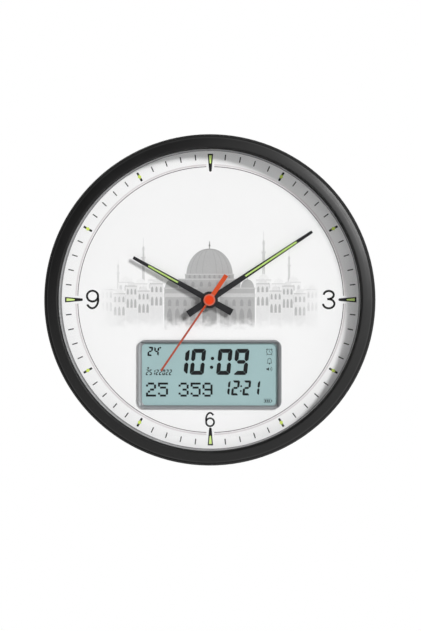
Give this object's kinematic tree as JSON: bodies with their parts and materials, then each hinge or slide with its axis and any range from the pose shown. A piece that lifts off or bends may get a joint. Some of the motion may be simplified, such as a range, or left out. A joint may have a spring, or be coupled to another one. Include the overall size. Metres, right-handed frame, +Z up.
{
  "type": "azan wall clock",
  "caption": "Round wall clock: black bezel, white dial with picture, three hands on a quartz movement, calendar display for prayer times, speaker, keys, keyhole back.",
  "frame": {"origin": "on the wall plane, on the axis that the hands turn about", "axes": "+X to the right and +Z up for someone facing the dial, -Y out of the wall towards them; the back rim lies in y = 0"},
  "size_m": [0.3, 0.046, 0.3],
  "materials": {
    "bezel_black": "satin-gloss moulded plastic",
    "clear_glass": "clear flat mineral glass",
    "seal_rubber": "matt black",
    "spacer_grey": "light grey moulded plastic",
    "dial_white": "satin white printed sheet",
    "carrier_white": "natural moulded plastic",
    "trim_silver": "silver lacquer",
    "panel_teal": "reflective display glass",
    "strip_grey": "conductive rubber",
    "board_green": "solder mask",
    "chip_black": "moulded epoxy",
    "movement_black": "moulded black plastic",
    "bridge_white": "natural moulded plastic",
    "brass": "turned brass",
    "steel": "zinc-plated steel",
    "contact_metal": "nickel-plated strip",
    "magnet_grey": "sintered magnet",
    "wheel_nylon": "natural nylon",
    "winding_copper": "enamelled copper wire",
    "hand_black": "satin black lacquer on aluminium",
    "lume": "luminous paint",
    "second_orange": "orange lacquer",
    "cover_black": "fine-textured moulded plastic",
    "screw_steel": "blackened steel",
    "cell_jacket": "plain printed jacket",
    "speaker_steel": "black painted steel",
    "cone_paper": "pressed paper",
    "key_grey": "grey moulded plastic",
    "switch_metal": "tinned steel shell"
  },
  "bodies": {
    "root": {"bezel": "bezel_black", "glass_seal": "seal_rubber", "glass": "clear_glass", "dial_spacer": "spacer_grey", "dial": "dial_white", "dial_carrier": "carrier_white", "display_trim": "trim_silver", "display_panel": "panel_teal", "display_bracket": "carrier_white", "contact_strips": "strip_grey", "main_board": "board_green", "board_chips": "chip_black", "movement_case": "movement_black", "movement_cover": "movement_black", "train_bridge": "bridge_white", "cushion_washer": "seal_rubber", "threaded_bush": "brass", "dial_washer": "brass", "hex_nut": "brass", "stator": "steel", "coil_core": "steel", "coil_bobbin": "bridge_white", "coil_winding": "winding_copper", "quartz_board": "board_green", "quartz_crystal": "steel", "movement_cell": "cell_jacket", "movement_contacts": "contact_metal", "rear_cover": "cover_black", "cover_screws": "screw_steel", "display_cells": "cell_jacket", "display_contacts": "contact_metal", "speaker_frame": "speaker_steel", "speaker_magnet": "magnet_grey", "speaker_cone": "cone_paper", "tact_switches": "chip_black", "switch_body": "switch_metal", "key_board": "board_green", "small_screws": "screw_steel"},
    "second_train": {"second_wheel": "wheel_nylon", "second_hand": "second_orange", "second_hand_cap": "second_orange"},
    "rotor_body": {"rotor": "wheel_nylon", "rotor_magnet": "magnet_grey"},
    "intermediate_body": {"intermediate_wheel": "wheel_nylon"},
    "third_body": {"third_wheel": "wheel_nylon"},
    "centre_body": {"centre_wheel": "brass"},
    "minute_train": {"cannon_pinion": "brass", "minute_hand": "hand_black", "minute_lume_fill": "lume"},
    "motion_body": {"motion_wheel": "wheel_nylon"},
    "hour_train": {"hour_wheel": "wheel_nylon", "hour_hand": "hand_black", "hour_lume_fill": "lume"},
    "knob_body": {"setting_knob": "key_grey"},
    "stop_key_body": {"stop_key": "key_grey"},
    "down_key_body": {"down_key": "key_grey"},
    "up_key_body": {"up_key": "key_grey"},
    "mode_key_body": {"mode_key": "key_grey"},
    "switch_slider_body": {"switch_slider": "key_grey"},
    "door_body": {"battery_door": "cover_black"}
  },
  "joints": [
    {"name": "second_hand_turn", "type": "hinge", "parent": "root", "child": "second_train", "pos_m": [0, -0.024, 0], "axis": [0, 1, 0], "continuous": true},
    {"name": "rotor_turn", "type": "hinge", "parent": "root", "child": "rotor_body", "pos_m": [0.01442, -0.017, 0.01211], "axis": [0, 1, 0], "continuous": true},
    {"name": "intermediate_turn", "type": "hinge", "parent": "root", "child": "intermediate_body", "pos_m": [0.00615, -0.016, 0.01065], "axis": [0, 1, 0], "continuous": true},
    {"name": "third_turn", "type": "hinge", "parent": "root", "child": "third_body", "pos_m": [-0.0106, -0.019, 0.00612], "axis": [0, 1, 0], "continuous": true},
    {"name": "centre_turn", "type": "hinge", "parent": "root", "child": "centre_body", "pos_m": [0, -0.02, 0], "axis": [0, 1, 0], "continuous": true},
    {"name": "minute_hand_turn", "type": "hinge", "parent": "root", "child": "minute_train", "pos_m": [0, -0.023, 0], "axis": [0, 1, 0], "continuous": true},
    {"name": "motion_turn", "type": "hinge", "parent": "root", "child": "motion_body", "pos_m": [0.0084, -0.024, 0], "axis": [0, 1, 0], "continuous": true},
    {"name": "hour_hand_turn", "type": "hinge", "parent": "root", "child": "hour_train", "pos_m": [0, -0.025, 0], "axis": [0, 1, 0], "continuous": true},
    {"name": "setting_knob_turn", "type": "hinge", "parent": "root", "child": "knob_body", "pos_m": [0.0126, -0.012, -0.00727], "axis": [0, 1, 0], "continuous": true},
    {"name": "stop_key_press", "type": "slide", "parent": "root", "child": "stop_key_body", "axis": [0, -1, 0], "range_m": [0, 0.0008], "stiffness_N_per_m": 900, "springref_m": -0.0004},
    {"name": "down_key_press", "type": "slide", "parent": "root", "child": "down_key_body", "axis": [0, -1, 0], "range_m": [0, 0.0008], "stiffness_N_per_m": 900, "springref_m": -0.0004},
    {"name": "up_key_press", "type": "slide", "parent": "root", "child": "up_key_body", "axis": [0, -1, 0], "range_m": [0, 0.0008], "stiffness_N_per_m": 900, "springref_m": -0.0004},
    {"name": "mode_key_press", "type": "slide", "parent": "root", "child": "mode_key_body", "axis": [0, -1, 0], "range_m": [0, 0.0008], "stiffness_N_per_m": 900, "springref_m": -0.0004},
    {"name": "azan_switch_slide", "type": "slide", "parent": "root", "child": "switch_slider_body", "axis": [0, 0, 1], "range_m": [0, 0.003]},
    {"name": "battery_door_swing", "type": "hinge", "parent": "root", "child": "door_body", "pos_m": [-0.1125, -0.0042, 0], "axis": [0, 0, 1], "range_deg": [0, 90]}
  ],
  "couplings": [
    {"joint": "rotor_turn", "follows": "second_hand_turn", "ratio": 30},
    {"joint": "intermediate_turn", "follows": "second_hand_turn", "ratio": -6},
    {"joint": "third_turn", "follows": "second_hand_turn", "ratio": -0.13333},
    {"joint": "centre_turn", "follows": "second_hand_turn", "ratio": 0.016667},
    {"joint": "motion_turn", "follows": "minute_hand_turn", "ratio": -0.33333},
    {"joint": "hour_hand_turn", "follows": "minute_hand_turn", "ratio": 0.083333},
    {"joint": "setting_knob_turn", "follows": "minute_hand_turn", "ratio": 1}
  ]
}
